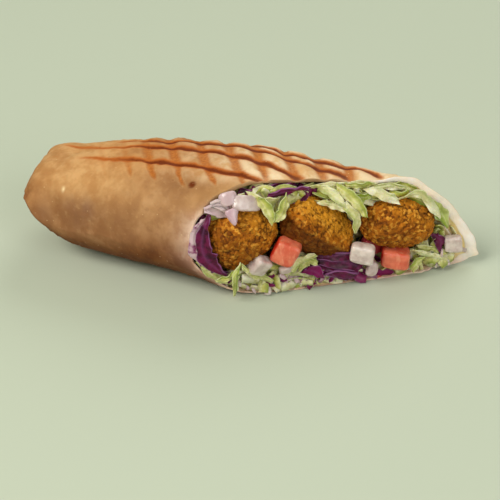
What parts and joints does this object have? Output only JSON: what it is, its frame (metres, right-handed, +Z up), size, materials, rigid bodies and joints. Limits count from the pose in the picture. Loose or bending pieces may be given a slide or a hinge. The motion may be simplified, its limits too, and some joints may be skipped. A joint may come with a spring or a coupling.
{
  "type": "falafel wrap",
  "caption": "Grilled flatbread rolled around salad and falafel, tucked shut at its end and cut open on a long bias.",
  "frame": {"origin": "middle of the bounding box in plan, on the flat underside that the wrap rests on", "axes": "+X along the roll from the tucked end to the cut tip, -Y towards the cut face, +Z up"},
  "size_m": [0.2124, 0.0762, 0.0584],
  "materials": {
    "flatbread": "matte toasted flatbread with brown grill marks",
    "green_cabbage": "fresh, slightly waxy leaf",
    "falafel": "rough fried crumb",
    "tomato": "wet cut flesh",
    "onion": "wet, slightly clear",
    "red_cabbage": "fresh, slightly waxy leaf"
  },
  "bodies": {
    "root": {"tortilla": "flatbread", "salad": "green_cabbage", "falafel_1": "falafel", "falafel_2": "falafel", "falafel_3": "falafel", "tomato_1": "tomato", "tomato_2": "tomato", "tomato_3": "tomato", "onion_1": "onion", "onion_2": "onion", "onion_3": "onion", "onion_4": "onion", "onion_5": "onion", "onion_6": "onion", "onion_7": "onion", "onion_8": "onion", "red_cabbage_bundle": "red_cabbage", "red_cabbage_1": "red_cabbage", "red_cabbage_2": "red_cabbage", "red_cabbage_3": "red_cabbage", "red_cabbage_4": "red_cabbage", "green_cabbage_1": "green_cabbage", "green_cabbage_2": "green_cabbage", "green_cabbage_3": "green_cabbage", "green_cabbage_4": "green_cabbage", "green_cabbage_5": "green_cabbage", "green_cabbage_6": "green_cabbage", "green_cabbage_7": "green_cabbage", "green_cabbage_8": "green_cabbage"}
  },
  "joints": []
}
